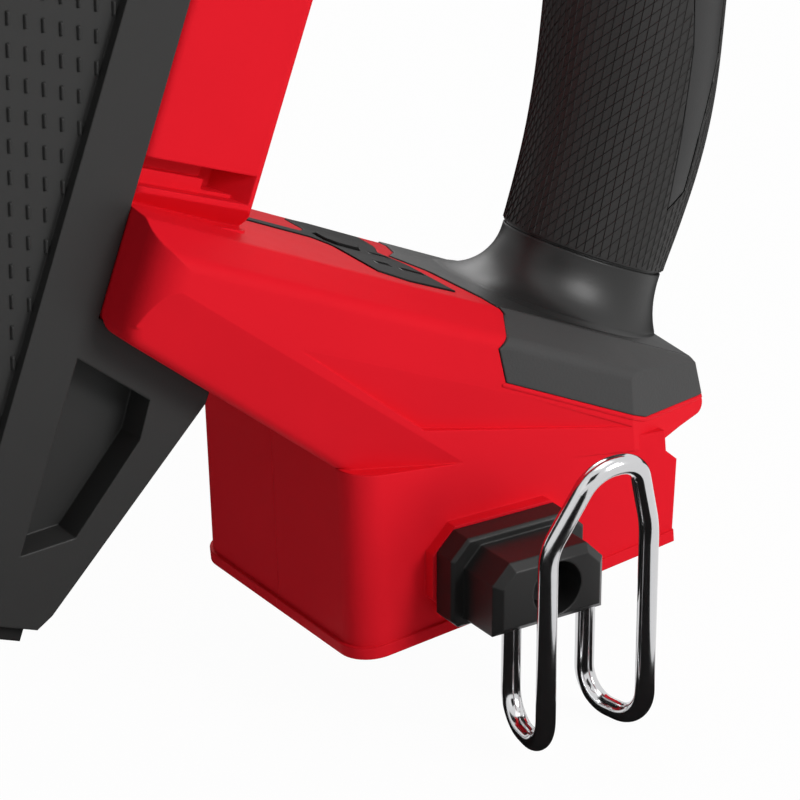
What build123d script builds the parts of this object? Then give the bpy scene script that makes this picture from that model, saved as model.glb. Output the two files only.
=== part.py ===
"""Cordless finish nailer, bare tool: foot, handle, motor strut, magazine, drive barrel and nose.

Millimetres. The foot's rim lies on z = 0 with the origin at its centre. +Z is up, -X runs towards
the nose and -Y is the belt hook's side. Handle, strut, magazine and drive share one leaning frame,
the grip frame: its z runs up the handle and its -x is the way a nail is driven.
"""
import math
import os

from build123d import *

# Lean of the grip frame, and where its origin stands over the foot
lean = 25.5
grip_origin_x = -7.0
grip_origin_z = 45.5

# Foot
foot_length = 97.0
foot_half_width = 39.0
foot_wall = 3.0
front_wall_height = 51.0
front_wall_draft = 3.0
front_corner_round = 8.0
beak_to_magazine = 0.4
beak_chin = 12.8
beak_chin_round = 6.0
beak_edge_round = 4.0
beak_low_half_width = 33.0
beak_round = 9.0
deck_fall = 3.95
deck_height = 80.5
deck_crease_half_width = 27.5
deck_ridge_half_width = 8.0
deck_crown = 1.5
deck_wall = 3.5
crease_round = 4.0
band_depth = 6.5
diagonal_high = (-92.0, 119.5)
diagonal_low = (-26.5, 57.0)
wedge_apex = (-57.0, 90.0)
wedge_upper = (4.0, 57.5)
wedge_tail = (38.0, 37.0)
wedge_lower = (-24.0, 57.0)
wedge_depth = 2.2
tail_reach = 68.3
tail_rake = 3.5
tail_taper_start = 38.0
tail_half_width = 28.0
lip_height = 28.0
lip_undercut = 10.8
lip_round = 2.6
notch_floor = 48.4
notch_low = 26.3
heel_reach = 51.7
heel_start = 30.0
heel_taper = 1.0
rim_height = 3.2
rim_proud = 0.7

# Guard plates on the foot's flanks, side outline in the foot frame from the front's top down and back
plate_outline = (
    (7.2, 80.0), (7.6, 75.3), (-0.9, 71.8), (0.5, 62.0),
    (43.0, 37.5), (66.0, 33.0), (74.0, 33.0),
)
plate_wrap = 18.0
plate_over_crease = 3.0
plate_rim = 1.1
plate_rim_proud = 0.3
skin_thickness = 2.6
skin_proud = 0.35

# Control panel on the deck, half outlines in the grip frame
panel_outline = (
    (-71.5, 2.0), (-44.0, 2.6), (-40.5, 6.0), (-35.6, 22.0),
    (-27.0, 24.2), (-10.8, 22.8), (-17.0, 6.0), (-20.5, 0.0),
)
button_outline = ((-39.5, 2.5), (-37.0, 5.0), (-30.0, 5.0), (-28.5, 2.5))
button_proud = 0.7
button_travel = 1.2
window_places = ((-23.2, -4.0), (-28.4, -13.5), (-19.2, -14.0))
window_lengths = (7.0, 5.0, 8.0)
window_width = 2.4
window_depth = 1.0

# Strut and drive barrel, in the grip frame
strut_back = -73.5
strut_front = -108.6
strut_half_width = 19.0
strut_wall = 2.6
strut_round = 3.0
strut_slot_low = 46.8
strut_slot_ledge = 50.2
strut_slot_high = 54.0
strut_slot_depth = 7.0
strut_ledge_depth = 4.6
strut_slot_edge = 2.5
strut_slot_slant = 4.0
strut_hole_front = -87.5
strut_hole_depth = 10.5
strut_rim = 1.4
strut_undercut = 5.0
drive_height = 190.0
barrel_radius = 34.0
barrel_wall = 3.5
barrel_section = (66.0, 68.0)
barrel_corner = 24.0
barrel_front = -112.0
barrel_back = 66.0
cap_length = 17.0
cap_round = 10.0
cap_hollow = 27.0
cap_seat = 5.0

# Handle, in the grip frame: heights, centre line, half depths and half widths
handle_heights = (22.0, 44.0, 62.0, 84.0, drive_height - 84.0, drive_height - 58.0, drive_height - 26.0)
handle_centres = (42.8, 42.8, 43.0, 41.5, 37.0, 31.0, 27.0)
handle_half_depths = (23.4, 23.4, 24.2, 25.2, 25.6, 24.6, 25.5)
handle_half_widths = (18.8, 18.8, 19.2, 19.8, 20.2, 20.0, 21.0)
handle_wall = 3.0
grip_thickness = 4.0
grip_fit = 0.15
grip_low = 48.5
grip_high = drive_height - 46.0
seam_gap = 0.8
strip_top = drive_height - 62.0
strip_outline = (
    (33.5, strip_top), (41.6, strip_top - 21.0), (47.2, 83.5), (51.0, 64.5),
    (56.5, 70.0), (55.3, 85.0), (54.8, strip_top - 21.0), (50.0, strip_top),
)
strip_thickness = 1.2
strip_groove = 0.35

# Collar that flares from the handle onto the foot, half outline of its skirt in the grip frame
collar_outline = ((-17.0, 0.0), (-10.2, 7.5), (-2.0, 21.8), (-0.8, 27.3), (75.0, 27.3))
collar_rise = 14.0
collar_front_flare = 16.0
collar_back_flare = 8.5
collar_side_flare = 9.4
collar_back_drop = 3.1
collar_toe = 5.0
collar_rings = 6
seam_depth = 1.0

# Belt hook, in a frame that leans a little with the foot's walls
hook_lean = 5.5
hook_x = -6.6
hook_z = 16.5
boss_half_length = 21.0
boss_half_height = 12.5
boss_corner = 6.5
boss_proud = 3.5
hook_plate_half_length = 20.0
hook_plate_half_height = 11.8
hook_plate_thickness = 7.0
hook_nose_half_length = 16.5
hook_nose_half_height = 9.4
hook_nose_thickness = 14.5
hook_corner = 5.0
hook_plate_low_corner = 2.2
hook_screw_offset = 1.5
hook_screw_head_radius = 6.9
hook_screw_head_depth = 4.0
hook_screw_radius = 2.0
hook_screw_recess = 9.0
wire_radius = 2.5
wire_inner_spacing = 22.4
wire_outer_spacing = 30.0
wire_reach = 20.5
wire_drop = 34.3
wire_shoulder = 20.0
wire_top = 41.6
wire_tip_reach = 6.0
wire_tip_spacing = 13.0
wire_seat = 7.0
wire_bend = 9.0
wire_shoulder_bend = 18.0
wire_tip_bend = 8.5
wire_cover = 1.4
wire_offset = 1.8
hook_edge = 2.0
hook_plate_edge = 0.7
insert_length = 8.0
insert_radius = 4.0
thread_radius = 2.1

# Magazine, in the grip frame
magazine_back = -109.4
magazine_front = -187.0
magazine_border = 16.6
magazine_half_width = 21.0
magazine_flank_half_width = 18.0
magazine_wall = 3.0
magazine_low = -64.0
magazine_top_gap = 0.4
gusset_high = (-73.0, -2.4)
gusset_tongue = 1.5
gusset_low = (-98.5, -60.0)
pocket_depth = 9.0
rail_half_width = 6.0
rail_slot_half_width = 1.7
rail_spine = 3.5
rail_low = -54.0
pusher_low = drive_height - 62.0
pusher_travel = 150.0
pusher_fit = 0.3
pusher_spring_radius = 8.0
pusher_spring_x = -150.0
tab_low = drive_height - 58.0
tab_reach = 9.0
tab_half_width = 6.0
latch_length = 26.0
latch_half_width = 7.0

# Nose, in the grip frame
nose_front = -178.0
nose_left = -20.0
nose_right = 12.0
nose_flange_length = 4.0
nose_flange_half_width = 20.0
nose_flange_top = 20.0
nose_top = 10.0
nose_bottom = -17.0
snout_length = 10.0
snout_half_width = 8.0
snout_half_height = 8.0
channel_half_width = 1.7
groove_half_height = 5.6
door_thickness = 4.0
door_half_width = 16.0
door_front = -172.0
door_gap = 0.3
door_hinge_x = -126.0
hinge_pin_radius = 2.0
hinge_ear = 4.0
door_latch_length = 24.0
door_latch_half_width = 7.0
latch_pin_radius = 1.5
trip_travel = 7.5
trip_front = -199.0
trip_length = 12.0
trip_thickness = 3.0
trip_wall = 3.1
trip_arm_back = -120.5
trip_rod_back = -92.0
trip_y = -27.0
trip_half_height = 4.0
trip_rod_radius = 2.0
tip_length = 4.0
wheel_radius = 8.0
wheel_length = 7.0
wheel_flutes = 14
wheel_back = -99.0
spring_seat = -76.0
light_radius = 4.5
light_rise = 26.0

# Drive, in the grip frame
cylinder_front = -50.0
cylinder_back = 58.0
cylinder_radius = 22.0
cylinder_wall = 2.5
flange_radius = 30.2
flange_length = 4.0
piston_rest = 40.0
piston_length = 12.0
piston_fit = 0.06
seal_depth = 2.2
seal_length = 3.0
bumper_length = 10.0
head_length = 6.0
valve_radius = 4.0
blade_half_height = 5.0
blade_half_width = 1.2
blade_tip = -111.0
rack_inner = 9.2
rack_outer = 16.5
rack_low = 12.0
rack_high = 5.0
flange_depth = 3.0
lifter_radius = 12.0
lifter_steps = 8
lifter_pin_radius = 1.4
rack_play = 1.15
lifter_disc = 6.0
lifter_disc_margin = 2.3
motor_low = 64.0
bearing_low = 50.0
cable_radius = 4.0
stator_length = 40.0
stator_bore = 9.6
rotor_radius = 9.0
shaft_radius = 3.0
bearing_radius = 8.0
bearing_length = 5.0
fan_radius = 14.2
fan_length = 5.0
gear_module = 0.8
sun_teeth = 12
planet_teeth = 9
planet_count = 3
gear_length = 9.0
planet_pin_radius = 1.5
carrier_plate = 3.0
carrier_shaft_radius = 4.0
case_wall = 1.2
case_to_lifter = 24.5

# Trigger, in the grip frame
trigger_pivot = (10.0, drive_height - 42.0)
trigger_low = drive_height - 70.0
trigger_half_width = 7.0
trigger_back = 16.0
trigger_pin_radius = 1.75
trigger_pin_reach = 14.0
trigger_sweep = 6.2

# Battery foot
rail_plate_low = 7.0
rail_plate_height = 6.0
rail_height = 4.0
rail_width = 5.0
rail_spacing = 50.0
terminal_count = 5
terminal_pitch = 9.0
terminal_size = (14.0, 1.0, 6.0)
board_size = (60.0, 50.0, 1.6)

# Screws: case screws by their places in the foot frame and the height of the head's seat on the right
case_screw_radius = 2.0
case_screw_head_radius = 3.6
case_screw_length = 46.0
case_screw_places = ((-90.5, 111.0), (-56.0, 84.0), (-18.0, 78.0))
case_screw_heads = (33.0, 33.0, 33.0)
case_boss_radius = 4.5
case_boss_reach = 30.0
cap_screw_radius = 2.0
cap_screw_length = 12.0
nose_screw_radius = 1.6

# Vents in the barrel's sides
vent_places = (-72.0, -66.0, -60.0)
vent_width = 2.5
vent_half_height = 11.0

# Fits
touch = 0.2
slip = 0.3
running = 0.05

grip_frame = Location((grip_origin_x, 0, grip_origin_z), (0, lean, 0))
to_grip = grip_frame.inverse()
hook_frame = Location((hook_x, -foot_half_width, hook_z), (0, hook_lean, 0))
to_hook = to_grip * hook_frame
strut_x = (strut_back + strut_front) / 2
beak_front = magazine_back + beak_to_magazine
nodes = {}


def side_prism(points, half_width):
    """A side outline, x and z, extruded evenly to both sides."""
    outline = Polyline(*[(x, 0, z) for x, z in points], close=True)
    return extrude(make_face(outline), amount=half_width, dir=(0, 1, 0), both=True)


def side_slab(points, y_from, y_to):
    """A side outline, x and z, extruded from one y to another."""
    outline = Polyline(*[(x, y_from, z) for x, z in points], close=True)
    return extrude(make_face(outline), amount=y_to - y_from, dir=(0, 1, 0))


def block(x_from, x_to, half_width, z_from, z_to):
    """A box by its ends in x and z, centred on y."""
    return slab(x_from, x_to, -half_width, half_width, z_from, z_to)


def slab(x_from, x_to, y_from, y_to, z_from, z_to):
    """A box by its ends."""
    middle = Pos((x_from + x_to) / 2, (y_from + y_to) / 2, (z_from + z_to) / 2)
    return middle * Box(x_to - x_from, y_to - y_from, z_to - z_from)


def rod_x(radius, x_from, x_to, y=0.0, z=drive_height):
    """A round bar along x, on the drive axis unless told otherwise."""
    return Pos((x_from + x_to) / 2, y, z) * Rot(0, 90, 0) * Cylinder(radius, x_to - x_from)


def rod_y(radius, x, z, y_from, y_to):
    """A round bar along y."""
    return Pos(x, (y_from + y_to) / 2, z) * Rot(90, 0, 0) * Cylinder(radius, y_to - y_from)


def rod_z(radius, z_from, z_to, x=strut_x, y=0.0):
    """A round bar along z, on the motor's axis unless told otherwise."""
    return Pos(x, y, (z_from + z_to) / 2) * Cylinder(radius, z_to - z_from)


def facet(first, second, third, side):
    """A plane through three points, its normal towards the given side of the tool."""
    a, b, c = Vector(*first), Vector(*second), Vector(*third)
    normal = (b - a).cross(c - a)
    if normal.Y * side < 0:
        normal = normal * -1
    return Plane(origin=a, x_dir=b - a, z_dir=normal)


def keep_under(solid, plane):
    return split(solid, bisect_by=plane, keep=Keep.BOTTOM)


# Foot, in the foot frame
foot_front = -foot_length / 2
foot_back = foot_length / 2
deck_slope = -math.tan(math.radians(lean + deck_fall))
knee = (foot_front + front_wall_draft, front_wall_height)


def deck_z(x):
    """Height of the deck's side crease."""
    return deck_height + deck_slope * x


def ridge_z(x):
    """Height of the deck's ridge in the grip frame."""
    ridge = to_grip * Pos(0, 0, deck_height + deck_crown)
    return ridge.position.Z - math.tan(math.radians(deck_fall)) * (x - ridge.position.X)


def beak_under(x):
    """Height of the beak's underside in the grip frame."""
    low = (to_grip * Pos(knee[0], 0, knee[1])).position
    return beak_chin + (low.Z - beak_chin) * (x - beak_front) / (low.X - beak_front)


def foot_upper(grow=0.0):
    """The faceted body over the battery box, from beak to tail, its skin moved out by grow."""
    half_width = foot_half_width + grow
    chin = (grip_frame * Pos(beak_front, 0, beak_chin)).position
    brow = (grip_frame * Pos(beak_front, 0, ridge_z(beak_front))).position
    tail = tail_reach - tail_rake
    outline = [
        knee,
        (chin.X, chin.Z),
        (brow.X, brow.Z + grow),
        (tail, deck_z(tail) + deck_crown + grow),
        (tail_reach, lip_height),
        (tail_reach - lip_undercut, lip_height),
        (notch_floor, lip_height - 0.5),
    ]
    face = make_face(Polyline(*[(x, 0, z) for x, z in outline], close=True))
    face = fillet(face.vertices().sort_by_distance(chin)[0], beak_chin_round)
    face = fillet(face.vertices().sort_by_distance((tail_reach, 0, lip_height))[0], lip_round)
    body = extrude(face, amount=half_width, dir=(0, 1, 0), both=True)
    for side in (-1, 1):
        crease = side * deck_crease_half_width
        ridge = side * deck_ridge_half_width
        flank = side * foot_half_width
        deck = facet((foot_front, ridge, deck_z(foot_front) + deck_crown),
                     (0, ridge, deck_z(0) + deck_crown), (0, crease, deck_z(0)), side)
        band = facet((foot_front, crease, deck_z(foot_front)), (0, crease, deck_z(0)),
                     (0, flank, deck_z(0) - band_depth), side)
        lower = facet((diagonal_high[0], flank, diagonal_high[1]),
                      (diagonal_low[0], flank, diagonal_low[1]),
                      (chin.X, side * beak_low_half_width, chin.Z), side)
        taper = facet((tail_taper_start, flank, 0), (tail_taper_start, flank, lip_height),
                      (tail_reach, side * tail_half_width, 0), side)
        for plane in (deck, band, lower, taper):
            body = keep_under(body, plane.offset(grow))
    creases = body.edges().filter_by(lambda e: e.length > 1.4 * foot_length and abs((e % 0.5).Y) < 0.02)
    body = fillet(creases.filter_by(lambda e: abs(e.center().Y) > deck_ridge_half_width + 5), crease_round)
    length = 2 * foot_length
    plan = RectangleRounded(length, 2 * half_width, beak_round)
    plan = Pos(beak_front - grow + length / 2, 0, -50) * plan
    return grip_frame * ((to_grip * body) & extrude(plan, amount=150))


def foot_box():
    """The battery box under it, with rounded corners and a proud rim."""
    outline = [
        (foot_front, 0),
        knee,
        (notch_floor, lip_height + 4),
        (notch_floor, notch_low),
        (heel_reach, notch_low - 3.5),
        (foot_back, 0),
    ]
    body = side_prism(outline, foot_half_width)
    for side in (-1, 1):
        flank = side * foot_half_width
        heel = facet((foot_back - heel_start, flank, 0), (foot_back - heel_start, flank, lip_height),
                     (foot_back, flank - side * heel_taper, 0), side)
        body = keep_under(body, heel)
    corners = body.edges().filter_by(lambda e: abs(e.tangent_at(0.5).Z) > 0.9).group_by(Axis.X)[0]
    body = fillet(corners, front_corner_round)
    plan = make_face(Polyline(
        (foot_front, -foot_half_width),
        (foot_back - heel_start, -foot_half_width),
        (foot_back, heel_taper - foot_half_width),
        (foot_back, foot_half_width - heel_taper),
        (foot_back - heel_start, foot_half_width),
        (foot_front, foot_half_width),
        close=True,
    ))
    plan = fillet(plan.vertices().group_by(Axis.X)[0], front_corner_round)
    return body + extrude(offset(plan, rim_proud), amount=rim_height)


def wedge_cut(side):
    """The shallow recess in the flank that deepens towards its lower edge."""
    flank = side * foot_half_width
    cutter = side_slab([wedge_apex, wedge_upper, wedge_tail, wedge_lower], flank - side * 8,
                       flank + side * 8)
    floor = facet((wedge_apex[0], flank, wedge_apex[1]), (wedge_upper[0], flank, wedge_upper[1]),
                  (wedge_lower[0], flank - side * wedge_depth, wedge_lower[1]), side)
    return split(cutter, bisect_by=floor, keep=Keep.TOP)


def foot_hollow():
    inside = side_prism([
        (foot_front + foot_wall, -1),
        (knee[0] + foot_wall, knee[1] - foot_wall),
        (foot_back - foot_wall, lip_height - 2),
        (foot_back - foot_wall, -1),
    ], foot_half_width - foot_wall - 2)
    under_deck = side_prism([
        (knee[0] + foot_wall, knee[1] - foot_wall - 10),
        (knee[0] + foot_wall, knee[1] + foot_wall),
        (-85, 97),
        (-74, deck_z(-74) - deck_wall),
        (30, deck_z(30) - deck_wall),
        (foot_back - foot_wall, lip_height - 2),
    ], deck_crease_half_width - 6)
    return inside + under_deck


# Handle, in the grip frame
def handle_form(inset):
    """The handle's rounded form, drawn in by an even amount."""
    stations = zip(handle_heights, handle_centres, handle_half_depths, handle_half_widths)
    sections = [Pos(x, 0, z) * Ellipse(depth - inset, width - inset) for z, x, depth, width in stations]
    return loft(sections)


def deck_cut(height, x=handle_centres[0]):
    """A plane square to the middle plane that follows the deck's fall, at a height on the handle."""
    return Plane(Location((x, 0, height), (0, deck_fall, 0)))


handle_core = handle_form(grip_thickness + grip_fit)


def both_sides(shape):
    return shape + mirror(shape, about=Plane.XZ)


def barrel_bar(x_from, x_to):
    """A length of the barrel's rounded section."""
    section = Plane(origin=(x_from, 0, drive_height), x_dir=(0, 1, 0), z_dir=(1, 0, 0))
    return extrude(section * RectangleRounded(*barrel_section, barrel_corner), amount=x_to - x_from)


# Skins set into the foot, drawn in the grip frame
proud_skin = to_grip * foot_upper(skin_proud)
skin_floor = to_grip * foot_upper(skin_proud - skin_thickness)
skin_depth = skin_thickness - skin_proud


def plate_prism(side, inset):
    """A guard plate's side outline drawn out sideways, from the wrap at the tail's back outwards."""
    back = plate_outline[-1][0]
    ring = plate_outline + ((back, deck_z(back) + plate_over_crease),)
    face = make_face(Polyline(*[(x, side * plate_wrap, z) for x, z in ring], close=True))
    face = offset(face, -inset, kind=Kind.INTERSECTION)
    return to_grip * extrude(face, amount=60, dir=(0, side, 0))


def deck_prism(half, inset):
    """A deck outline, mirrored from its half, drawn upwards."""
    ring = list(half) + [(x, -y) for x, y in reversed(half) if y > 0]
    face = offset(make_face(Polyline(*ring, close=True)), -inset)
    return extrude(Pos(0, 0, 15) * face, amount=60)


def window_prism(place, length, inset):
    return Pos(*place, 40) * Box(length - 2 * inset, window_width - 2 * inset, 40)


button_room = deck_prism(button_outline, 0) - to_grip * foot_upper(-skin_depth - button_travel - 2 * slip)
panel_pocket = deck_prism(panel_outline, 0) - skin_floor
over_lip = to_grip * block(-200, 200, 100, plate_outline[-1][1], 300)
collar_pocket = (deck_prism(collar_outline, 0) & over_lip) - skin_floor
plate_pockets = plate_prism(-1, 0) + plate_prism(1, 0) - skin_floor


# Belt hook, drawn at its own place: x and z from the screw's row, y outwards from the flank
def octagon(half_length, half_height, corner, low_corner, y_from, y_to):
    """A side outline with its corners cut off, drawn between two depths; a low corner of 0 stays square."""
    high = half_height - corner
    corners = [(half_length, high), (half_length - corner, half_height),
               (corner - half_length, half_height), (-half_length, high)]
    if low_corner:
        low = low_corner - half_height
        corners += [(-half_length, low), (low_corner - half_length, -half_height),
                    (half_length - low_corner, -half_height), (half_length, low)]
    else:
        corners += [(-half_length, -half_height), (half_length, -half_height)]
    return side_slab(corners, y_from, y_to)


boss = octagon(boss_half_length, boss_half_height, boss_corner, boss_corner, foot_wall, -boss_proud)
block_back = -boss_proud - touch
block_step = block_back - hook_plate_thickness
block_front = block_step - hook_nose_thickness
leg_y = block_front + wire_radius + wire_cover
outer_y = leg_y - wire_reach
wire_row = [
    (-wire_inner_spacing / 2, leg_y, wire_seat - hook_nose_half_height),
    (-wire_inner_spacing / 2, leg_y, -wire_drop),
    (-wire_outer_spacing / 2, outer_y, -wire_drop),
    (-wire_outer_spacing / 2, outer_y, wire_shoulder),
    (-wire_tip_spacing / 2, outer_y - wire_tip_reach, wire_top),
]
wire_row += [(-x, y, z) for x, y, z in reversed(wire_row)]
wire_row = [(x + wire_offset, y, z) for x, y, z in wire_row]
wire_bends = [wire_bend, wire_bend, wire_shoulder_bend, wire_tip_bend]
wire_line = FilletPolyline(*wire_row, radius=wire_bends + wire_bends[::-1])
wire_start = Plane(origin=wire_line @ 0, z_dir=wire_line % 0)
hook_wire = sweep(wire_start * Circle(wire_radius), path=wire_line)
hook_plate = octagon(hook_plate_half_length, hook_plate_half_height, hook_corner, hook_plate_low_corner,
                     block_back, block_step)
hook_nose = octagon(hook_nose_half_length, hook_nose_half_height, hook_corner, 0, block_step, block_front)
hook_block = chamfer(hook_plate.edges().group_by(Axis.Y)[0], hook_plate_edge)
hook_block += chamfer(hook_nose.edges().group_by(Axis.Y)[0], hook_edge)
head_bottom = block_front + hook_screw_recess + hook_screw_head_depth
hook_block -= rod_y(hook_screw_radius + touch, hook_screw_offset, 0, block_front - 1, block_back + 1)
hook_block -= rod_y(hook_screw_head_radius + slip, hook_screw_offset, 0, block_front - 1, head_bottom)
for x in (wire_offset - wire_inner_spacing / 2, wire_offset + wire_inner_spacing / 2):
    hook_block -= Pos(0, leg_y, 0) * rod_z(wire_radius, -40, wire_seat - hook_nose_half_height, x)
screw_tip = insert_length - boss_proud - 1
hook_screw = rod_y(hook_screw_head_radius, hook_screw_offset, 0, head_bottom - hook_screw_head_depth,
                   head_bottom)
hook_screw += rod_y(hook_screw_radius, hook_screw_offset, 0, head_bottom, screw_tip)
socket = Rot(90, 0, 0) * extrude(RegularPolygon(hook_screw_radius, 6), amount=2.5)
hook_screw -= Pos(hook_screw_offset, head_bottom - hook_screw_head_depth + 2, 0) * socket
insert = rod_y(insert_radius, hook_screw_offset, 0, -boss_proud, insert_length - boss_proud)
insert_hole = rod_y(insert_radius, hook_screw_offset, 0, -boss_proud - 1, foot_wall + 8)
insert -= rod_y(thread_radius, hook_screw_offset, 0, -boss_proud - 1, foot_wall + 8)
boss = to_hook * boss
hook_inserts = to_hook * insert
hook_inserts = Compound([hook_inserts, mirror(hook_inserts, about=Plane.XZ)])
insert_holes = both_sides(to_hook * insert_hole)
nodes["hook_block"] = to_hook * hook_block
nodes["hook_wire"] = to_hook * hook_wire
nodes["hook_screw"] = to_hook * hook_screw
nodes["hook_inserts"] = hook_inserts

# Housing, in the grip frame
strut = block(strut_front, strut_back, strut_half_width, 20, drive_height - 20)
strut = fillet(strut.edges().filter_by(Axis.Z), strut_round)
beak = to_grip * foot_upper()
beak_edges = beak.edges().filter_by(lambda e: e.length > 60 and abs(e.center().Y) > 25)
beak = fillet(beak_edges.sort_by(lambda e: e.center().X + e.center().Z)[:2], beak_edge_round)
housing = beak + to_grip * foot_box() - to_grip * (wedge_cut(-1) + wedge_cut(1))
plate_rims = plate_prism(-1, -plate_rim) + plate_prism(1, -plate_rim)
plate_rims &= to_grip * block(-200, 200, 100, 0, plate_outline[3][1])
housing += plate_rims & to_grip * foot_upper(plate_rim_proud)
housing += both_sides(boss)
housing += strut
housing += barrel_bar(barrel_front, barrel_back)
housing += handle_core
bore_radius = barrel_radius - barrel_wall
strut_room = block(strut_front + strut_wall, strut_back - strut_wall, strut_half_width - strut_wall,
                   motor_low - fan_length - 2, drive_height)
housing -= to_grip * foot_hollow()
housing -= rod_x(bore_radius, barrel_front + barrel_wall, barrel_back + 1)
housing -= strut_room
housing -= rod_z(bearing_radius + running, bearing_low, motor_low)
housing -= rod_z(cable_radius, 25, motor_low)
housing -= handle_form(grip_thickness + grip_fit + handle_wall)
housing -= plate_pockets
housing -= panel_pocket
housing -= collar_pocket - handle_core
housing -= button_room


def slot_cut(depth, low, high, front=strut_front - 1):
    """A slot in the strut's flank, open towards the magazine, with a slanted back wall."""
    slot_back = strut_back - strut_slot_edge
    floor_back = slot_back - strut_slot_slant * depth / strut_slot_depth
    plan = make_face(Polyline(
        (front, strut_half_width + 1),
        (slot_back, strut_half_width + 1),
        (slot_back, strut_half_width),
        (floor_back, strut_half_width - depth),
        (front, strut_half_width - depth),
        close=True,
    ))
    return both_sides(extrude(Pos(0, 0, low) * plan, amount=high - low))


housing -= slot_cut(strut_slot_depth, strut_slot_ledge, strut_slot_high)
housing -= slot_cut(strut_ledge_depth, strut_slot_low, strut_slot_ledge)
housing -= slot_cut(strut_hole_depth, strut_slot_low + 0.8, strut_slot_high - 0.8, strut_hole_front)
tongue_back = gusset_high[0] + touch
tongue_front = beak_front - 2
housing -= side_prism([
    (tongue_front, beak_under(tongue_front) - 3),
    (tongue_front, beak_under(tongue_front) + gusset_tongue + touch),
    (tongue_back, beak_under(tongue_back) + gusset_tongue + touch),
    (tongue_back, beak_under(tongue_back) - 3),
], magazine_half_width + touch)
rim_low = strut_slot_low - strut_rim
under_rim = make_face(Polyline(
    (strut_front - 1, strut_half_width + 1, rim_low),
    (strut_front - 1, strut_half_width, rim_low),
    (strut_front - 1, strut_half_width - strut_undercut, rim_low - strut_undercut),
    (strut_front - 1, strut_half_width + 1, rim_low - strut_undercut),
    close=True,
))
under_rim = extrude(under_rim, amount=strut_back - strut_front + 2, dir=(1, 0, 0))
housing -= both_sides(under_rim) - to_grip * foot_upper()
trigger_room = block(-20, trigger_back + trigger_sweep, trigger_half_width + slip, trigger_low - 4,
                     trigger_pivot[1] + 6.5)
pivot_x, pivot_z = trigger_pivot
pin_bosses = both_sides(rod_y(trigger_pin_radius + 2.5, pivot_x, pivot_z, trigger_half_width,
                              trigger_pin_reach + 2))
housing += pin_bosses & handle_core
housing -= trigger_room
housing -= rod_y(trigger_pin_radius, pivot_x, pivot_z, -trigger_pin_reach, trigger_pin_reach)
wheel_front = wheel_back - wheel_length
trip_rib = slab(wheel_back + slip, wheel_back + slip + 2.5, -bore_radius - 1, -18.5, drive_height - 10,
                drive_height + 10)
seat_rib = slab(spring_seat, spring_seat + 3, -bore_radius - 1, -22, drive_height - 6, drive_height + 6)
ribs = (trip_rib + seat_rib) & rod_x(bore_radius + 1, -110, -60)
housing += ribs
housing -= rod_x(trip_rod_radius + running, barrel_front - 1, wheel_back + 5, trip_y)
housing -= slab(barrel_front + barrel_wall, wheel_back + slip, -45, -18.5,
                drive_height - wheel_radius - slip,
                drive_height + wheel_radius + slip)
blade_way = slab(-200, 0, -rack_outer - 0.7, channel_half_width, drive_height - rack_low - 0.7,
                 drive_height + groove_half_height)
housing -= blade_way & rod_x(100, barrel_front - 1, barrel_front + barrel_wall + 1)
housing -= rod_x(light_radius + touch, barrel_front - 1, barrel_front + barrel_wall + 1, 0,
                 drive_height + light_rise)
for x in vent_places:
    housing -= both_sides(slab(x, x + vent_width, 25, 40, drive_height - vent_half_height,
                               drive_height + vent_half_height))
cap_screw_places = [(y, drive_height + z) for y in (-24, 24) for z in (-24, 24)]
for y, z in cap_screw_places:
    housing -= rod_x(cap_screw_radius + running, barrel_back - cap_screw_length, barrel_back + 1, y, z)
nose_screw_places = ((16, drive_height + 14), (16, drive_height - 12), (-15, drive_height + 15))
for y, z in nose_screw_places:
    housing -= rod_x(nose_screw_radius + running, barrel_front - 1, barrel_front + barrel_wall + 1, y, z)
case_screws = []
for (x, z), head_y in zip(case_screw_places, case_screw_heads):
    place = to_grip * Pos(x, 0, z)
    x, z = place.position.X, place.position.Z
    housing += rod_y(case_boss_radius, x, z, -case_boss_reach, head_y - 1)
    housing -= rod_y(case_screw_radius + running, x, z, head_y - case_screw_length, head_y)
    housing -= rod_y(case_screw_head_radius + touch, x, z, head_y, 60)
    screw = rod_y(case_screw_radius, x, z, head_y - case_screw_length, head_y)
    screw += rod_y(case_screw_head_radius, x, z, head_y, head_y + 2.4)
    screw -= Pos(x, head_y + 2.4, z) * Rot(90, 0, 0) * Box(4.6, 1.1, 2.4)
    screw -= Pos(x, head_y + 2.4, z) * Rot(90, 0, 0) * Box(1.1, 4.6, 2.4)
    case_screws.append(screw)
housing -= insert_holes
nodes["housing_left"] = split(housing, bisect_by=Plane.XZ, keep=Keep.TOP)
nodes["housing_right"] = split(housing, bisect_by=Plane.XZ, keep=Keep.BOTTOM)
nodes["case_screws"] = Compound(case_screws)

# Skins, panel and collar
for name, side in (("left", -1), ("right", 1)):
    plate = (plate_prism(side, touch) & proud_skin) - skin_floor - deck_prism(collar_outline, 0)
    nodes[f"guard_plate_{name}"] = plate.solids().sort_by(SortBy.VOLUME)[-1]
panel = (deck_prism(panel_outline, touch) & proud_skin) - skin_floor
panel -= deck_prism(button_outline, -slip)
window_floor = to_grip * foot_upper(skin_proud - window_depth)
windows = []
for place, length in zip(window_places, window_lengths):
    windows.append((window_prism(place, length, running) & proud_skin) - window_floor)
    panel -= window_prism(place, length, 0) - window_floor
nodes["control_panel"] = panel
nodes["panel_windows"] = Compound(windows)
button = deck_prism(button_outline, slip) & to_grip * foot_upper(skin_proud + button_proud)
nodes["mode_button"] = button - skin_floor


def flare(height, foot):
    """How much of the collar's flare is left at a height over the ridge, from 1 at its foot to 0."""
    part = min(max((height - foot) / (collar_rise - foot), 0), 1)
    return 1 - math.sqrt(2 * part - part * part)


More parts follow.
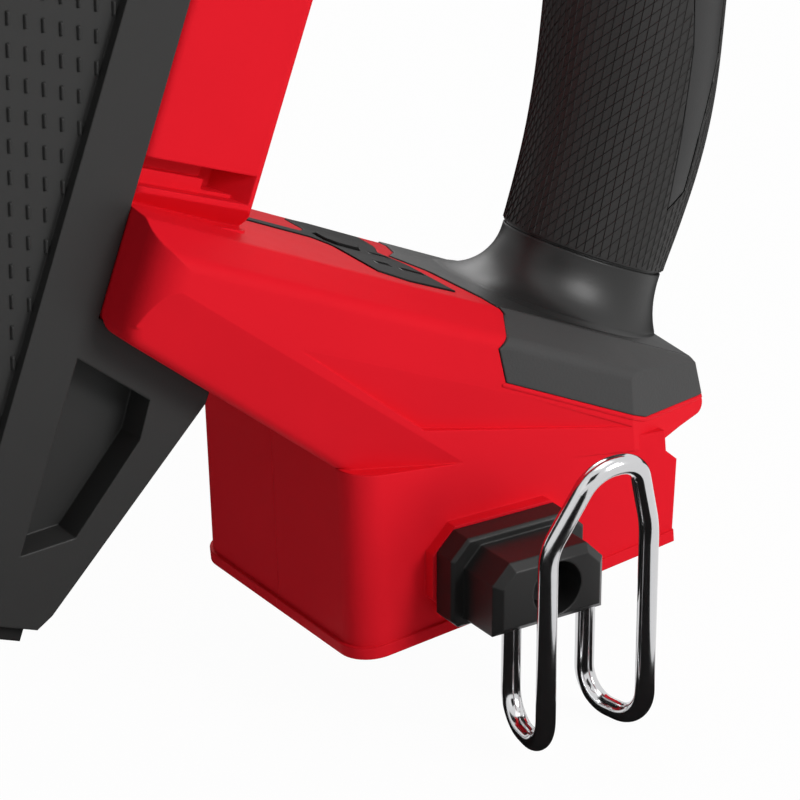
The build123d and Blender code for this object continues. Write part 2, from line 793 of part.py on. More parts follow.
def collar_ring(height):
    """The collar's section at a height over the deck's ridge."""
    front = handle_centres[0] - handle_half_depths[0] - collar_front_flare * flare(height, skin_proud)
    front -= collar_toe * max(skin_proud - height, 0)
    back = handle_centres[0] + handle_half_depths[0] + collar_back_flare * flare(height, -collar_back_drop)
    half_width = handle_half_widths[0] + collar_side_flare * flare(height, -deck_crown)
    middle = (front + back) / 2
    place = Location((middle, 0, ridge_z(middle) + height), (0, deck_fall, 0))
    return place * Ellipse((back - front) / 2, half_width)


def collar_length(foot, top):
    """The collar between two heights, its rings closest together at the lower one."""
    turn = math.acos(1 - (top - foot) / (collar_rise - foot)) / collar_rings
    rises = [(collar_rise - foot) * (1 - math.cos(turn * ring)) for ring in range(collar_rings + 1)]
    return loft([collar_ring(foot + rise) for rise in rises])


neck_ring = collar_ring(collar_rise)
collar = loft([neck_ring, neck_ring.moved(Location((0, 0, collar_rise)))], ruled=True)
collar += collar_length(skin_proud, collar_rise)
collar += collar_length(-deck_crown, skin_proud)
collar += collar_length(-collar_back_drop, -deck_crown)
collar = keep_under(collar, deck_cut(grip_low - seam_gap))
collar += keep_under(handle_form(seam_depth), deck_cut(grip_low - running)) - keep_under(
    handle_form(0), deck_cut(grip_low - seam_gap - 1))
collar &= deck_prism(collar_outline, touch)
collar += deck_prism(collar_outline, touch) & proud_skin
collar -= handle_form(grip_thickness)
collar -= skin_floor
collar &= over_lip.moved(Location((0, 0, touch)))
nodes["handle_collar"] = collar.solids().sort_by(SortBy.VOLUME)[-1]

# Grip sleeve and its strips
sleeve = handle_form(0) - handle_form(grip_thickness)
sleeve = split(sleeve, bisect_by=deck_cut(grip_low), keep=Keep.TOP)
sleeve = split(sleeve, bisect_by=Plane((0, 0, grip_high)), keep=Keep.BOTTOM)
sleeve -= trigger_room
strip_layer = handle_form(0) - handle_form(strip_thickness)
strip_face = make_face(Polyline(*[(x, 0, z) for x, z in strip_outline], close=True))
for name, side in (("left", -1), ("right", 1)):
    sleeve -= strip_layer & extrude(strip_face, amount=40, dir=(0, side, 0))
    inlay = extrude(offset(strip_face, -strip_groove), amount=40, dir=(0, side, 0))
    nodes[f"grip_strip_{name}"] = strip_layer & inlay
nodes["grip_sleeve"] = sleeve

# Rear cap and its screws, work light
cap_back = barrel_back + touch + cap_length
cap = barrel_bar(barrel_back + touch, cap_back)
cap = fillet(cap.edges().group_by(Axis.X)[-1], cap_round)
cap -= rod_x(cap_hollow, barrel_back - 1, cap_back - barrel_wall - 2)
cap_screws = []
for y, z in cap_screw_places:
    head_x = barrel_back + touch + cap_seat
    cap -= rod_x(cap_screw_radius + running, barrel_back - 1, cap_back, y, z)
    cap -= rod_x(case_screw_head_radius + touch, head_x, cap_back + 1, y, z)
    screw = rod_x(cap_screw_radius, barrel_back - cap_screw_length, head_x, y, z)
    cap_screws.append(screw + rod_x(case_screw_head_radius, head_x, head_x + 2.4, y, z))
nodes["rear_cap"] = cap
nodes["cap_screws"] = Compound(cap_screws)
light = rod_x(light_radius, barrel_front - 1.5, barrel_front + barrel_wall, 0, drive_height + light_rise)
nodes["work_light"] = chamfer(light.edges().group_by(Axis.X)[0], 1)

# Gas spring and driver
cylinder = rod_x(cylinder_radius + cylinder_wall, cylinder_front, cylinder_back)
cylinder += rod_x(flange_radius, cylinder_front - flange_length, cylinder_front)
cylinder += rod_x(flange_radius, cylinder_back - flange_length, cylinder_back)
cylinder -= rod_x(cylinder_radius, cylinder_front, cylinder_back + 1)
cylinder -= blade_way
nodes["cylinder"] = cylinder
nodes["bumper"] = rod_x(cylinder_radius - touch, cylinder_front,
                        cylinder_front + bumper_length) - blade_way
head = rod_x(flange_radius, cylinder_back, cylinder_back + head_length)
head += rod_x(cylinder_radius - touch, cylinder_back - 2, cylinder_back)
head -= rod_x(valve_radius, cylinder_back - 3, cylinder_back + head_length + 1)
nodes["cylinder_head"] = head
valve = rod_x(valve_radius, cylinder_back - 2, cylinder_back + head_length)
valve += rod_x(valve_radius - 1.5, cylinder_back + head_length, cylinder_back + head_length + 4)
nodes["fill_valve"] = valve
piston_radius = cylinder_radius - piston_fit
seal_from = piston_rest + (piston_length - seal_length) / 2
groove = rod_x(piston_radius + 1, seal_from, seal_from + seal_length) - rod_x(
    piston_radius - seal_depth, seal_from, seal_from + seal_length)
nodes["piston"] = rod_x(piston_radius, piston_rest, piston_rest + piston_length) - groove
nodes["piston_seal"] = groove & rod_x(piston_radius, seal_from, seal_from + seal_length)
pitch = 2 * math.pi * lifter_radius / lifter_steps
rack_front = strut_x - 1.5 * pitch
rack_back = strut_x + 8.5 * pitch
blade = block(blade_tip, piston_rest, blade_half_width, drive_height - blade_half_height,
              drive_height + blade_half_height)
rack = slab(rack_front, rack_back, -rack_outer, -rack_inner, drive_height - rack_low,
            drive_height - rack_high + flange_depth)
rack += slab(rack_front, rack_back, -rack_outer, 0, drive_height - rack_high,
             drive_height - rack_high + flange_depth)
notch_half = lifter_pin_radius + rack_play
for step in range(-1, 9):
    x = strut_x + step * pitch
    rack -= slab(x - notch_half, x + notch_half, -lifter_radius - lifter_pin_radius - 0.6,
                 -rack_inner + 1,
                 drive_height - rack_low - 1, drive_height - rack_high)
nodes["driver_blade"] = blade + rack

# Lifter, gear train and motor
disc_top = drive_height - rack_low - 2
disc_low = disc_top - lifter_disc
lifter = rod_z(lifter_radius + lifter_disc_margin, disc_low, disc_top)
for step in range(1, lifter_steps):
    turn = math.radians(360 / lifter_steps * step - 90)
    x = strut_x + lifter_radius * math.cos(turn)
    lifter += rod_z(lifter_pin_radius, disc_top, drive_height - rack_high - 1, x,
                    lifter_radius * math.sin(turn))
lifter -= rod_z(carrier_shaft_radius, disc_low - 1, disc_low + 4)
nodes["lifter_wheel"] = lifter


def toothed(teeth, root, tip, root_half, tip_half, phase):
    """A toothed outline with straight-sided teeth, the first centred on the phase angle."""
    points = []
    for tooth in range(teeth):
        middle = math.radians(phase + 360 / teeth * tooth)
        for radius, half in ((root, -root_half), (tip, -tip_half), (tip, tip_half), (root, root_half)):
            angle = middle + half / radius
            points.append((radius * math.cos(angle), radius * math.sin(angle)))
    return make_face(Polyline(*points, close=True))


gear_low = motor_low + stator_length + 10.5
gear_high = gear_low + gear_length
sun_pitch = gear_module * sun_teeth / 2
planet_pitch = gear_module * planet_teeth / 2
ring_pitch = sun_pitch + 2 * planet_pitch
ring_teeth = sun_teeth + 2 * planet_teeth
on_motor = Pos(strut_x, 0, gear_low)
sun = extrude(on_motor * toothed(sun_teeth, sun_pitch - 0.9, sun_pitch + 0.5, 0.6, 0.25, 0),
              amount=gear_length)
case_radius = (strut_back - strut_front) / 2 - strut_wall - touch
case_low = motor_low + stator_length + 1.5
case_high = disc_low - case_to_lifter
case_room = case_radius - case_wall
case = rod_z(case_radius, case_low, case_high) - rod_z(case_room, gear_low - 1, case_high - 8)
case -= rod_z(bearing_radius + running, case_low + 1.5, gear_low) + rod_z(5, case_low - 1, case_high + 1)
case -= rod_z(bearing_radius + running, case_high - 9, case_high - 2)
void = extrude(on_motor * toothed(ring_teeth, ring_pitch - 0.45, ring_pitch + 0.85, 0.6, 0.8, 0),
               amount=gear_length)
nodes["gear_case"] = case + (rod_z(case_room, gear_low, gear_high) - void)
carrier = rod_z(case_room - 1, gear_high + 1, gear_high + 1 + carrier_plate)
carrier += rod_z(carrier_shaft_radius, gear_high + 1, disc_low + 4)
for index in range(planet_count):
    phase = 360 / planet_count * index
    turn = math.radians(phase)
    x = strut_x + (sun_pitch + planet_pitch) * math.cos(turn)
    y = (sun_pitch + planet_pitch) * math.sin(turn)
    carrier += rod_z(planet_pin_radius, gear_low + 0.5, gear_high + 1, x, y)
    outline = toothed(planet_teeth, planet_pitch - 0.85, planet_pitch + 0.55, 0.6, 0.25, phase)
    planet = extrude(Pos(x, y, gear_low) * outline, amount=gear_length)
    nodes[f"planet_gear_{index + 1}"] = planet - rod_z(planet_pin_radius + running, gear_low - 1,
                                                       gear_high + 1, x, y)
nodes["gear_carrier"] = carrier


def bearing(low, shaft):
    return rod_z(bearing_radius, low, low + bearing_length) - rod_z(shaft + running, low - 1, low + 9)


nodes["motor_bearings"] = Compound([bearing(bearing_low, shaft_radius), bearing(case_low + 1.5,
    shaft_radius)])
nodes["carrier_bearing"] = bearing(case_high - 8 + touch, carrier_shaft_radius)
stator = rod_z(case_radius, motor_low, motor_low + stator_length)
nodes["motor_stator"] = stator - rod_z(stator_bore, motor_low - 1, motor_low + stator_length + 1)
rotor = rod_z(shaft_radius, bearing_low, gear_high)
rotor += rod_z(rotor_radius, motor_low + 1, motor_low + stator_length - 1)
nodes["motor_rotor"] = rotor + sun
fan_low = motor_low - fan_length - 1
fan = rod_z(7, fan_low, fan_low + fan_length)
vane = Pos(fan_radius / 2 + 2, 0, fan_low + fan_length / 2) * Box(fan_radius - 4, 1.4, fan_length)
for step in range(9):
    fan += Pos(strut_x, 0, 0) * Rot(0, 0, 40 * step) * vane
nodes["motor_fan"] = fan - rod_z(shaft_radius, fan_low - 1, fan_low + 9)

# Nose
flange_back = barrel_front - touch
body_back = flange_back - nose_flange_length
nose_low = drive_height + nose_bottom
nose_high = drive_height + nose_top
nose = slab(nose_front, body_back, nose_left, nose_right, nose_low, nose_high)
nose += block(body_back, flange_back, nose_flange_half_width, nose_low, drive_height + nose_flange_top)
snout_front = nose_front - snout_length
nose += block(snout_front, nose_front, snout_half_width, drive_height - snout_half_height,
              drive_height + snout_half_height)
nose = chamfer(nose.edges().filter_by(Axis.X).group_by(SortBy.LENGTH)[-1], 2)
hinge_z = nose_high + door_gap + door_thickness
for y in (door_half_width - hinge_ear, -door_half_width):
    ear = slab(door_hinge_x - hinge_ear, door_hinge_x + hinge_ear, y, y + hinge_ear, nose_high - 2,
               hinge_z)
    ear += rod_y(hinge_ear, door_hinge_x, hinge_z, y, y + hinge_ear)
    nose += ear
nose += slab(door_hinge_x - hinge_ear, door_hinge_x + hinge_ear, nose_right - 2, door_half_width,
             nose_high - 8, nose_high)
nose -= block(snout_front - 1, flange_back + 1, channel_half_width, drive_height - groove_half_height,
              drive_height + groove_half_height)
nose -= block(nose_front + 2, body_back - 2, channel_half_width, nose_low - 1, drive_height)
nose -= blade_way & rod_x(100, nose_front + 1, 0)
nose -= rod_y(hinge_pin_radius + running, door_hinge_x, hinge_z, -40, 40)
nose_screws = []
for y, z in nose_screw_places:
    nose -= rod_x(nose_screw_radius + running, body_back - 1, flange_back + 1, y, z)
    screw = rod_x(nose_screw_radius, body_back, barrel_front + barrel_wall, y, z)
    nose_screws.append(screw + rod_x(2.8, body_back - 2.4, body_back, y, z))
nodes["nose_frame"] = nose
nodes["nose_screws"] = Compound(nose_screws)
door = block(door_front, door_hinge_x - 10, door_half_width, hinge_z - door_thickness, hinge_z)
door = chamfer(door.edges().group_by(Axis.Z)[-1], 1)
knuckle = door_half_width - hinge_ear - slip
door += block(door_hinge_x - 12, door_hinge_x, knuckle, hinge_z - door_thickness, hinge_z)
door += rod_y(hinge_ear, door_hinge_x, hinge_z, -knuckle, knuckle)
door -= rod_y(hinge_pin_radius + running, door_hinge_x, hinge_z, -40, 40)
lever_z = hinge_z + 2.8
lever_x = door_front + 5
for side in (-1, 1):
    y = side * (door_latch_half_width + slip + 1.5)
    ear = slab(lever_x - 3, lever_x + 3, y - 1.5, y + 1.5, hinge_z - 1, lever_z)
    door += ear + rod_y(3, lever_x, lever_z, y - 1.5, y + 1.5)
door -= rod_y(latch_pin_radius + running, lever_x, lever_z, -40, 40)
nodes["nose_door"] = door
nodes["door_pin"] = rod_y(hinge_pin_radius, door_hinge_x, hinge_z, -door_half_width, door_half_width)
lever = rod_y(2.4, lever_x, lever_z, -door_latch_half_width, door_latch_half_width)
lever += block(lever_x, lever_x + door_latch_length, door_latch_half_width, lever_z - 1.6, lever_z + 2.4)
lever += block(lever_x + door_latch_length - 4, lever_x + door_latch_length, door_latch_half_width,
               lever_z - 1.6, lever_z + 5)
lever += rod_y(latch_pin_radius, lever_x, lever_z, -door_latch_half_width - 3, door_latch_half_width + 3)
nodes["door_latch"] = lever
hoop_half = snout_half_width + 0.4
hoop = block(trip_front, trip_front + trip_length, hoop_half + trip_wall,
             drive_height - hoop_half - trip_wall,
             drive_height + hoop_half + trip_wall)
hoop -= block(trip_front + trip_thickness, trip_front + 99, hoop_half, drive_height - hoop_half,
              drive_height + hoop_half)
hoop -= block(trip_front - 1, trip_front + 9, channel_half_width + 0.3, drive_height - 6,
              drive_height + 6)
hoop += slab(trip_front, trip_front + 5, trip_y - 2, -hoop_half - 1, drive_height - trip_half_height,
             drive_height + trip_half_height)
hoop += slab(trip_front, trip_arm_back, trip_y - 2, trip_y + 2, drive_height - trip_half_height,
             drive_height + trip_half_height)
nodes["contact_trip"] = hoop + rod_x(trip_rod_radius, trip_arm_back, trip_rod_back, trip_y)
tip = block(trip_front - tip_length, trip_front, hoop_half + 1, drive_height - hoop_half - 1,
            drive_height + hoop_half + 1)
tip = chamfer(tip.edges().group_by(Axis.X)[0], 1.5)
nodes["no_mar_tip"] = tip - block(trip_front - 9, trip_front + 9, channel_half_width + 0.3,
                                  drive_height - 6, drive_height + 6)
spring = rod_x(3.4, spring_seat - trip_travel, spring_seat, trip_y)
nodes["trip_spring"] = spring - rod_x(2.2, spring_seat - 20, spring_seat + 1, trip_y)
wheel = rod_x(wheel_radius, wheel_front + slip, wheel_back, trip_y)
for flute in range(wheel_flutes):
    turn = math.radians(360 / wheel_flutes * flute)
    y = trip_y + (wheel_radius + 0.4) * math.cos(turn)
    wheel -= rod_x(1, wheel_front, wheel_back + 1, y,
                   drive_height + (wheel_radius + 0.4) * math.sin(turn))
nodes["depth_wheel"] = wheel - rod_x(trip_rod_radius + running, wheel_front, wheel_back + 1, trip_y)

# Magazine
magazine_top = nose_low - magazine_top_gap
outline = [
    (magazine_back - 3.2, magazine_top),
    (magazine_back - 3.2, 155),
    (magazine_back, 152),
    (magazine_back, beak_under(magazine_back) + gusset_tongue),
    (gusset_high[0], beak_under(gusset_high[0]) + gusset_tongue),
    gusset_high,
    gusset_low,
    (gusset_low[0] - 3, magazine_low),
    (magazine_front + 11, magazine_low),
    (magazine_front, magazine_low + 14),
    (magazine_front, magazine_top),
]
cover = side_prism(outline, magazine_half_width)
flank_cut = side_slab([
    (magazine_back - magazine_border, 166), (magazine_back - magazine_border,
                                             -30), (magazine_front - 1, -52), (magazine_front - 1, 166),
], magazine_flank_half_width, 40)
cover -= both_sides(flank_cut)
pocket = side_slab([(-112, 4), (-88.9, -3.6), (-88.4, -13.7), (-98.3, -39.9), (-112, -46)],
                   magazine_half_width - pocket_depth, 40)
cover -= both_sides(pocket)
room_front = magazine_front + magazine_wall + 3
room_back = magazine_back - 3.2 - magazine_wall
room_half = rail_half_width + touch
cover -= block(room_front, room_back, room_half, magazine_low - 1, magazine_top + 1)
cover -= block(magazine_front - 1, room_front + 1, 2, tab_low - pusher_travel - 3, magazine_top - 4)
latch_pin_x = room_back - 6
nodes["magazine_cover"] = cover
rail = block(room_front + touch, room_back - touch, rail_half_width, rail_low, magazine_top)
rail -= block(room_front - 1, room_back - rail_spine, rail_slot_half_width, rail_low - 1,
              magazine_top + 1)
nodes["magazine_rail"] = rail
pusher = block(room_front + 2, room_back - rail_spine - slip, rail_slot_half_width - pusher_fit,
               pusher_low, magazine_top - 8)
pusher -= rod_y(pusher_spring_radius, pusher_spring_x, pusher_low + 12, -9, 9)
pusher += block(magazine_front - 2, room_front + 3, rail_slot_half_width - pusher_fit, tab_low,
                tab_low + 12)
pusher += block(magazine_front - tab_reach, magazine_front - 1, tab_half_width, tab_low, tab_low + 12)
nodes["pusher"] = pusher
roll = rod_y(pusher_spring_radius - running, pusher_spring_x, pusher_low + 12, -1.3, 1.3)
nodes["pusher_spring"] = roll - rod_y(2, pusher_spring_x, pusher_low + 12, -9, 9)
end_cap = block(room_front + touch, room_back - touch, rail_half_width, magazine_low, rail_low - touch)
end_cap += block(magazine_front + 13, gusset_low[0] - 5, magazine_flank_half_width,
                 magazine_low - 4 - touch, magazine_low - touch)
end_cap += block(room_front + touch, room_back - touch, rail_half_width, magazine_low - 1, magazine_low)
latch_z = magazine_low - 8
for side in (-1, 1):
    y = side * (latch_half_width + slip + 1.5)
    ear = slab(latch_pin_x - 4, latch_pin_x + 4, y - 1.5, y + 1.5, latch_z, magazine_low - 2)
    end_cap += ear + rod_y(4, latch_pin_x, latch_z, y - 1.5, y + 1.5)
end_cap -= rod_y(latch_pin_radius + running, latch_pin_x, latch_z, -40, 40)
nodes["magazine_end_cap"] = end_cap
latch = rod_y(3, latch_pin_x, latch_z, -latch_half_width, latch_half_width)
latch += block(latch_pin_x - latch_length, latch_pin_x, latch_half_width, latch_z - 2.5, latch_z + 1.5)
latch += rod_y(latch_pin_radius, latch_pin_x, latch_z, -latch_half_width - 3, latch_half_width + 3)
nodes["magazine_latch"] = latch

# Trigger
profile = [
    (pivot_x - 6, pivot_z + 3.5), (pivot_x + 4, pivot_z + 3.5), (trigger_back,
        pivot_z - 6), (trigger_back, trigger_low),
    (pivot_x - 2, trigger_low - 2), (pivot_x - 13, trigger_low + 3), (pivot_x - 15,
        trigger_low + 10), (pivot_x - 12, pivot_z - 10),
]
trigger = side_prism(profile, trigger_half_width)
trigger = fillet(trigger.edges().filter_by(Axis.Y).group_by(Axis.X)[0], 2)
trigger -= rod_y(trigger_pin_radius + running, pivot_x, pivot_z, -40, 40)
trigger -= rod_y(3.6, pivot_x, pivot_z, -2.3, 2.3)
nodes["trigger"] = trigger
nodes["trigger_spring"] = rod_y(3.2, pivot_x, pivot_z, -2, 2) - rod_y(trigger_pin_radius + running,
    pivot_x, pivot_z, -3, 3)
nodes["trigger_pin"] = rod_y(trigger_pin_radius, pivot_x, pivot_z, -trigger_pin_reach, trigger_pin_reach)
switch = block(trigger_back + 6.5, trigger_back + 19, 20, trigger_low + 4, trigger_low + 24)
nodes["trigger_switch"] = switch & handle_form(grip_thickness + grip_fit + handle_wall + touch)

# Battery foot, in the foot frame
room_x = foot_length / 2 - foot_wall - touch
room_y = foot_half_width - foot_wall - 2 - touch
plate_top = rail_plate_low + rail_plate_height
rail_plate = block(front_wall_draft / 2 - room_x, room_x, room_y, rail_plate_low, plate_top)
for side in (-1, 1):
    y = side * rail_spacing / 2
    rail_plate += slab(-room_x + 8, room_x - 4, y - rail_width / 2, y + rail_width / 2,
                       rail_plate_low - rail_height, rail_plate_low)
board_low = plate_top + 7
for x in (-board_size[0] / 2 + 6, board_size[0] / 2 - 6):
    for y in (-board_size[1] / 2 + 6, board_size[1] / 2 - 6):
        rail_plate += rod_z(3, plate_top, board_low, x, y)
terminal_block = block(-8, 30, terminal_count * terminal_pitch / 2, rail_plate_low - 5.5, rail_plate_low)
blades = []
for index in range(terminal_count):
    y = (index - (terminal_count - 1) / 2) * terminal_pitch
    blades.append(slab(-8 - terminal_size[0], -8, y - terminal_size[1] / 2, y + terminal_size[1] / 2,
                       rail_plate_low - terminal_size[2] + 1, rail_plate_low - 1))
board = block(-board_size[0] / 2, board_size[0] / 2, board_size[1] / 2, board_low,
              board_low + board_size[2])
board += block(-12, 12, 9, board_low + board_size[2], board_low + 7)
nodes["rail_plate"] = to_grip * rail_plate
nodes["terminal_block"] = to_grip * terminal_block
nodes["terminal_blades"] = to_grip * Compound(blades)
nodes["control_board"] = to_grip * board

os.makedirs("parts", exist_ok=True)
for name, shape in nodes.items():
    export_step(grip_frame * shape, f"parts/{name}.step")
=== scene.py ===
"""Looks of a bare cordless finish nailer: its finishes, its fine relief and a pale studio.

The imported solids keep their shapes. Only the grip's net and the magazine's tread are added here.
"""
import math

import bpy
from mathutils import Matrix, Vector


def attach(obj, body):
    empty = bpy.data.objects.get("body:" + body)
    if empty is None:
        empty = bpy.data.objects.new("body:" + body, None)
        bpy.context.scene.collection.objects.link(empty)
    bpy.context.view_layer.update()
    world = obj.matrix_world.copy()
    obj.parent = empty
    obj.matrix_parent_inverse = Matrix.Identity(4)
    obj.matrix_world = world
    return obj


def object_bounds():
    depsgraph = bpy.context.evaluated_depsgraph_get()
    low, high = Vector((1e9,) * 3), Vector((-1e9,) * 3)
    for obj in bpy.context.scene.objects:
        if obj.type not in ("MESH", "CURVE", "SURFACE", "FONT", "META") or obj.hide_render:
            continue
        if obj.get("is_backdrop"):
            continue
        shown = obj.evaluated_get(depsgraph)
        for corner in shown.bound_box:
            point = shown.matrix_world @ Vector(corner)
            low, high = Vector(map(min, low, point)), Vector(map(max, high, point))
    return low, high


bl_info = {
    "name": "Finish nailer looks",
    "version": (1, 0, 0),
    "blender": (4, 5, 0),
    "location": "3D View > Sidebar > Nailer",
    "description": "Dresses the finish nailer's solids and sets up its studio",
    "category": "Object",
}

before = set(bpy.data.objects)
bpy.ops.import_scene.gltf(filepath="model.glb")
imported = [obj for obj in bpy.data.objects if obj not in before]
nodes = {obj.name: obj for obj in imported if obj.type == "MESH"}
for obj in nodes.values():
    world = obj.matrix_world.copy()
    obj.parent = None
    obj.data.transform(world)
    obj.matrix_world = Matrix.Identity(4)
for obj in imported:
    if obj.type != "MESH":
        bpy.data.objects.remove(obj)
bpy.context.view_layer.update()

# The grip frame leans forward on the foot; the grip and the magazine are drawn in it
LEAN = math.radians(25.5)
GRIP_ORIGIN = Vector((-0.007, 0.0, 0.0455))
GRIP_FRAME = Matrix.Translation(GRIP_ORIGIN) @ Matrix.Rotation(LEAN, 4, "Y")

# The sleeve's axis, ends, strip outline and trigger opening in the grip frame, and the net on it
SLEEVE_MIDDLE = Vector((0.039, 0, 0.096))
SLEEVE_TILT = math.atan(-0.13)
SLEEVE_RADIUS = 0.029
SLEEVE_FLATNESS = 0.78
SLEEVE_FOOT = 0.0485
SLEEVE_FOOT_X = 0.0428
SLEEVE_FOOT_FALL = math.radians(3.95)
SLEEVE_TOP = 0.144
NET_MARGIN = 0.0004
NET_OVERLAP = 40
NET_BELOW = 3
NET_ABOVE = 2
NET_LIFT = 1.6
NET_WALL = 2.5
NET_MISSED = 0.995
NET_SMOOTH = math.radians(30)
MERGE = 0.00001
AT_END = 0.0001
STRIP_OUTLINE = (
    (0.0335, 0.128), (0.0416, 0.107), (0.0472, 0.0835), (0.051, 0.0645),
    (0.0565, 0.07), (0.0553, 0.085), (0.0548, 0.107), (0.05, 0.128),
)
TRIGGER_ROOM = ((-0.01, 0.1155), (0.0227, 0.16))
TRIGGER_HALF_WIDTH = 0.0078

# The magazine's sunk flanks in the grip frame, and the shape of a tread bar
FLANK_SIDE = 0.018
FLANK_BACK = -0.1260
FLANK_FRONT = -0.1865
FLANK_FOOT = (-0.0295, 0.36)
FLANK_TOP = 0.164
BAR_CREST = (0.78, 0.3, 1)
BAR_BROKEN = 1 / 6
COLUMN_START = 0.45

# The studio: camera, floor, surrounding light and lamps (place, size, power)
AIM = Vector((-0.007, 0, 0.0455))
EYE = Vector((-0.4686, -0.7720, 0.4824))
UPRIGHT = Vector((0.0958, 0, 0.9954))
LENS = 175.5
SENSOR = 36
FLOOR_SIZE = 8
FLOOR_GLOW = 0.97
DIM_WORLD = 0.13
LAMPS = (
    ("key", (0.55, -1.3, 0.7), 0.6, 16),
    ("fill", (-1.2, -0.9, 0.6), 1.0, 0.4),
    ("top", (0.1, -0.2, 1.5), 1.0, 3.3),
    ("back", (0.7, 1.2, 0.8), 1.0, 8),
)

# Dark cards to mirror: behind the camera, before the hook and behind the tool
CARD_DISTANCE = 1.4
CARD_SIZE = (0.7, 0.7)
HOOK_PLACE = Vector((-0.0066, -0.075, 0))
HOOK_CARD_SHIFT = (-0.16, 0.14)
HOOK_CARD_SIZE = (0.42, 0.32)
BACK_CARD_PLACE = Vector((0, 0.92, 0))
BACK_CARD_SIZE = (3, 1.8)

# Finishes: sizes of their marks, and how far they change colour and roughness
FLOW_SIZE = 0.05
FLOW_SHADES = (0.94, 1.06)
RUB_SIZE = 0.004
RUB_POLISH = -0.12
SHEEN_SIZE = 0.006
SHEEN_SPREAD = 0.04
EDGE_SAMPLES = 6
EDGE_TURN = (0.995, 0.85)
MARK_STRETCH = (0.06, 1, 1)
MARK_SHADE = 0.86
EDGE_SHADE = 1.3


def colour(name, text, default):
    return bpy.props.FloatVectorProperty(
        name=name, description=text, subtype="COLOR", size=4, min=0, max=1, default=default)


class NailerColours(bpy.types.PropertyGroup):
    """Colours a user would change."""

    case_red: colour("Case", "Moulded housing", (0.76, 0.011, 0.022, 1))
    case_black: colour("Black mouldings", "Collar, cap, hook and magazine", (0.013, 0.013, 0.0128, 1))
    trim_grey: colour("Grey trim", "Guard plates and grip strips", (0.05, 0.05, 0.05, 1))
    grip_black: colour("Grip", "Rubber sleeve", (0.016, 0.0152, 0.0148, 1))
    floor_pale: colour("Floor", "Studio floor", (0.9, 0.9, 0.9, 1))


class NailerSizes(bpy.types.PropertyGroup):
    """Sizes a user would change."""

    grain: bpy.props.FloatProperty(
        name="Moulded grain", description="Width of the moulded grain",
        default=0.0006, unit="LENGTH")
    edge_round: bpy.props.FloatProperty(
        name="Edge rounding", description="How far edges are softened",
        default=0.0007, unit="LENGTH")
    grip_lines: bpy.props.IntProperty(
        name="Grip lines", description="Lengthwise lines round the grip", default=70)
    grip_cell: bpy.props.FloatProperty(
        name="Grip cell", description="Height of the grip's slanted cells",
        default=0.0033, unit="LENGTH")
    grip_slant: bpy.props.IntProperty(
        name="Grip slant", description="Cells that a slanted line climbs in a turn", default=46)
    grip_ridge: bpy.props.FloatProperty(
        name="Grip ridge", description="Height of the grip's raised lines",
        default=0.0002, unit="LENGTH")
    tread_bar: bpy.props.FloatVectorProperty(
        name="Tread bar", description="Length, width and height of a bar",
        default=(0.004, 0.0016, 0.0008), unit="LENGTH")
    tread_column: bpy.props.FloatProperty(
        name="Tread columns", description="Spacing of the tread's columns",
        default=0.0024, unit="LENGTH")
    tread_pitch: bpy.props.FloatProperty(
        name="Tread pitch", description="Spacing of the bars in a column",
        default=0.0144, unit="LENGTH")
    tread_slant: bpy.props.FloatProperty(
        name="Tread slant", description="How far the bars lean back",
        default=math.radians(20), subtype="ANGLE")
    floor_gap: bpy.props.FloatProperty(
        name="Floor gap", description="Room under the lowest point",
        default=0.0005, unit="LENGTH")


# Finishes
def finish(name):
    """A node material, its tree and shader, and the piece's coordinates in the grip frame."""
    material = bpy.data.materials.new(name)
    material.use_nodes = True
    tree = material.node_tree
    shader = tree.nodes["Principled BSDF"]
    where = tree.nodes.new("ShaderNodeTexCoord")
    turn = tree.nodes.new("ShaderNodeMapping")
    turn.vector_type = "TEXTURE"
    turn.inputs["Location"].default_value = GRIP_ORIGIN
    turn.inputs["Rotation"].default_value = (0, LEAN, 0)
    tree.links.new(where.outputs["Object"], turn.inputs["Vector"])
    return material, tree, shader, turn.outputs["Vector"]


def maths(tree, operation, a, b=None, c=None):
    node = tree.nodes.new("ShaderNodeMath")
    node.operation = operation
    for socket, value in zip(node.inputs, (a, b, c)):
        if value is None:
            continue
        if isinstance(value, (int, float)):
            socket.default_value = value
        else:
            tree.links.new(value, socket)
    return node.outputs[0]


def noise(tree, place, size, detail=2.0, roughness=0.5):
    """Noise with features about the given size in metres."""
    node = tree.nodes.new("ShaderNodeTexNoise")
    node.inputs["Scale"].default_value = 1 / size
    node.inputs["Detail"].default_value = detail
    node.inputs["Roughness"].default_value = roughness
    tree.links.new(place, node.inputs["Vector"])
    return node.outputs["Fac"]


def spread(tree, value, low, high, start=0.0, end=1.0):
    """The value from start to end turned into a range."""
    node = tree.nodes.new("ShaderNodeMapRange")
    node.inputs["From Min"].default_value = start
    node.inputs["From Max"].default_value = end
    node.inputs["To Min"].default_value = low
    node.inputs["To Max"].default_value = high
    tree.links.new(value, node.inputs["Value"])
    return node.outputs["Result"]


def two_tone(tree, value, first, second):
    """Two colours, either of them fixed or linked, mixed by the value."""
    node = tree.nodes.new("ShaderNodeMix")
    node.data_type = "RGBA"
    for socket, tone in ((node.inputs[6], first), (node.inputs[7], second)):
        if isinstance(tone, tuple):
            socket.default_value = tone
        else:
            tree.links.new(tone, socket)
    tree.links.new(value, node.inputs[0])
    return node.outputs[2]


def raise_surface(tree, shader, height, depth, under=None):
    """Give the shader a bump of a height, over another direction if one is given."""
    node = tree.nodes.new("ShaderNodeBump")
    node.inputs["Distance"].default_value = depth
    tree.links.new(height, node.inputs["Height"])
    if under:
        tree.links.new(under, node.inputs["Normal"])
    tree.links.new(node.outputs["Normal"], shader.inputs["Normal"])


